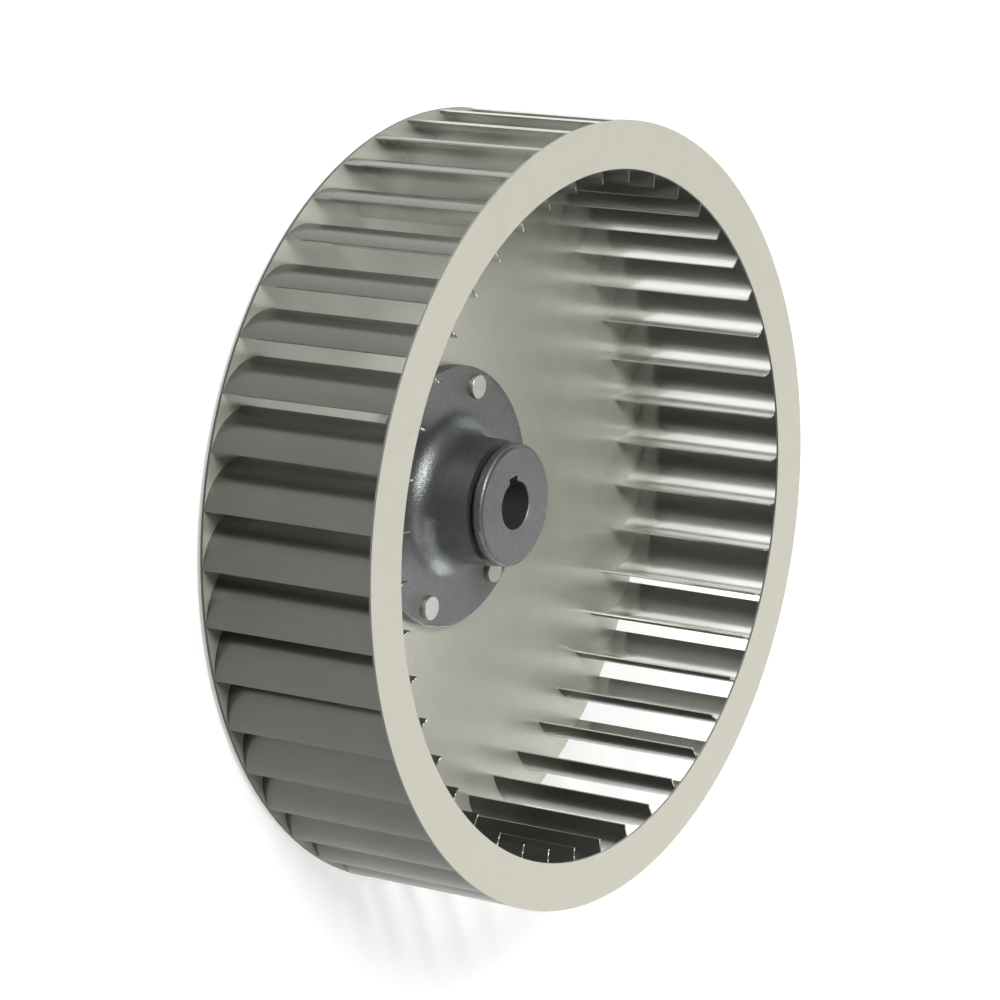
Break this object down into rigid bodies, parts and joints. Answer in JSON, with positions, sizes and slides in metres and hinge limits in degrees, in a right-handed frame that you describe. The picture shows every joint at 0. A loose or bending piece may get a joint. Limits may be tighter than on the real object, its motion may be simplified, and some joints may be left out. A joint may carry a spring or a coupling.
{
  "type": "centrifugal fan impeller",
  "caption": "Forward-curved centrifugal fan wheel of sheet metal, with an open inlet ring, a closed back plate and a riveted cast hub with a keyed bore.",
  "frame": {"origin": "on the shaft axis, in the plane of the shoulder face at the back of the hub, on which the wheel lies", "axes": "+Z along the shaft axis from the back plate to the open inlet, +Y towards the keyway"},
  "size_m": [0.45, 0.45, 0.1155],
  "materials": {
    "ring_sheet": "galvanised sheet, satin",
    "plate_sheet": "galvanised sheet, satin",
    "blade_sheet": "bright rolled steel sheet, glossy",
    "hub_casting": "turned cast iron, satin, fine grain",
    "rivet_steel": "plain steel, satin"
  },
  "bodies": {
    "root": {"front_ring": "ring_sheet", "back_plate": "plate_sheet", "hub": "hub_casting", "hub_rivets": "rivet_steel", "blade_01": "blade_sheet", "blade_02": "blade_sheet", "blade_03": "blade_sheet", "blade_04": "blade_sheet", "blade_05": "blade_sheet", "blade_06": "blade_sheet", "blade_07": "blade_sheet", "blade_08": "blade_sheet", "blade_09": "blade_sheet", "blade_10": "blade_sheet", "blade_11": "blade_sheet", "blade_12": "blade_sheet", "blade_13": "blade_sheet", "blade_14": "blade_sheet", "blade_15": "blade_sheet", "blade_16": "blade_sheet", "blade_17": "blade_sheet", "blade_18": "blade_sheet", "blade_19": "blade_sheet", "blade_20": "blade_sheet", "blade_21": "blade_sheet", "blade_22": "blade_sheet", "blade_23": "blade_sheet", "blade_24": "blade_sheet", "blade_25": "blade_sheet", "blade_26": "blade_sheet", "blade_27": "blade_sheet", "blade_28": "blade_sheet", "blade_29": "blade_sheet", "blade_30": "blade_sheet", "blade_31": "blade_sheet", "blade_32": "blade_sheet", "blade_33": "blade_sheet", "blade_34": "blade_sheet", "blade_35": "blade_sheet", "blade_36": "blade_sheet", "blade_37": "blade_sheet", "blade_38": "blade_sheet", "blade_39": "blade_sheet", "blade_40": "blade_sheet", "blade_41": "blade_sheet", "blade_42": "blade_sheet", "blade_43": "blade_sheet", "blade_44": "blade_sheet"}
  },
  "joints": []
}
